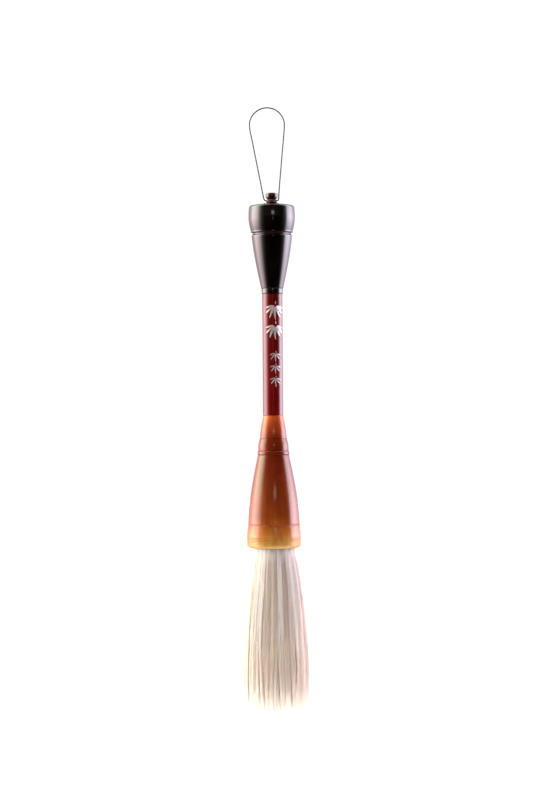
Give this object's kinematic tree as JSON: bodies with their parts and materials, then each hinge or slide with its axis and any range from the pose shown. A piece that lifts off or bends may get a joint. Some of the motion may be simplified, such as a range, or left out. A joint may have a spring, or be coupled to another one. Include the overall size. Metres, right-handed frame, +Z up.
{
  "type": "calligraphy brush",
  "caption": "Large hanging calligraphy brush: cord loop on a turned dark tail, red lacquered shaft, flared horn ferrule and a full tuft of pale goat hair.",
  "frame": {"origin": "hang point: the inside of the cord loop's top, straight above the brush's axis", "axes": "+Z up along the brush's axis, from the hair towards the loop; the loop lies in the XZ plane; -Y is the front, where the leaf pattern is"},
  "size_m": [0.0584, 0.0584, 0.5236],
  "materials": {
    "cord": "matte",
    "dark_horn": "gloss",
    "black_horn": "gloss",
    "plain_wood": "matte",
    "red_lacquer": "gloss",
    "silver_fill": "satin",
    "brown_horn": "gloss",
    "dark_line": "gloss",
    "amber_horn": "gloss",
    "resin": "gloss",
    "thread": "matte",
    "hair": "satin"
  },
  "bodies": {
    "loop": {"hanging_cord": "cord"},
    "noose": {"cord_noose": "cord", "cord_knot": "cord"},
    "handle": {"finial_button": "dark_horn", "tail_head": "black_horn", "tail_spacer": "dark_horn", "tail_pin": "plain_wood", "tail_cone": "black_horn", "tail_collar": "black_horn", "tail_dowel": "plain_wood", "shaft": "red_lacquer", "leaf_inlay": "silver_fill", "ferrule_dowel": "plain_wood", "ferrule_collar": "brown_horn", "ferrule_band": "brown_horn", "ferrule_ring": "brown_horn", "ferrule_cup": "brown_horn", "rim_line": "dark_line", "ferrule_rim": "amber_horn", "root_resin": "resin", "hair_root": "hair", "root_binding": "thread"},
    "tuft": {"hair_core": "hair", "hair_mantle": "hair"}
  },
  "joints": [
    {"name": "loop_swing", "type": "hinge", "parent": "loop", "child": "noose", "pos_m": [0, 0, -0.0786], "axis": [1, 0, 0], "range_deg": [-90, 90]},
    {"name": "neck_spin", "type": "hinge", "parent": "noose", "child": "handle", "pos_m": [0, 0, -0.0786], "axis": [0, 0, 1], "continuous": true},
    {"name": "tuft_bend", "type": "hinge", "parent": "handle", "child": "tuft", "pos_m": [0, 0, -0.3758], "axis": [0, 1, 0], "range_deg": [-25, 25], "stiffness_Nm_per_rad": 0.15}
  ]
}
